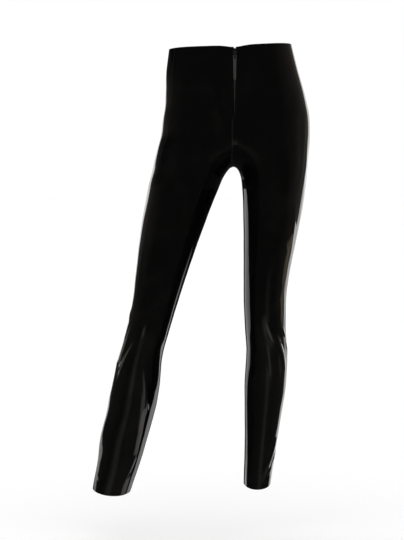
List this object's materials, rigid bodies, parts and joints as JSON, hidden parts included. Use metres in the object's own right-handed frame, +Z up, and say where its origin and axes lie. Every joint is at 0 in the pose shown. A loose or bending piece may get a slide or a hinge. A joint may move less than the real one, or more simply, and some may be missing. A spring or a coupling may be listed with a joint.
{
  "type": "latex leggings",
  "caption": "Hollow full-length glossy rubber leggings held in a standing pose, with a short front zip and its hinged pull tab.",
  "frame": {"origin": "centre of the waist opening, where the wearer's waist holds the garment", "axes": "+Z up along the body, the front faces -Y, +X is the wearer's left"},
  "size_m": [0.4797, 0.2304, 0.9884],
  "materials": {
    "latex": "polished, mirror-like gloss",
    "zip_tape": "matt woven tape",
    "zip_teeth": "small metal teeth",
    "zip_slider": "dark satin metal",
    "zip_pull": "satin grey metal"
  },
  "bodies": {
    "garment": {"front_left": "latex", "front_right": "latex", "back_left": "latex", "back_right": "latex", "zip_tape_left": "zip_tape", "zip_tape_right": "zip_tape", "zip_chain": "zip_teeth", "zip_slider": "zip_slider"},
    "pull_tab": {"zip_pull": "zip_pull"}
  },
  "joints": [
    {"name": "pull_tab_hinge", "type": "hinge", "parent": "garment", "child": "pull_tab", "pos_m": [0, -0.0984, -0.0291], "axis": [-1, 0, 0], "range_deg": [0, 180]}
  ]
}
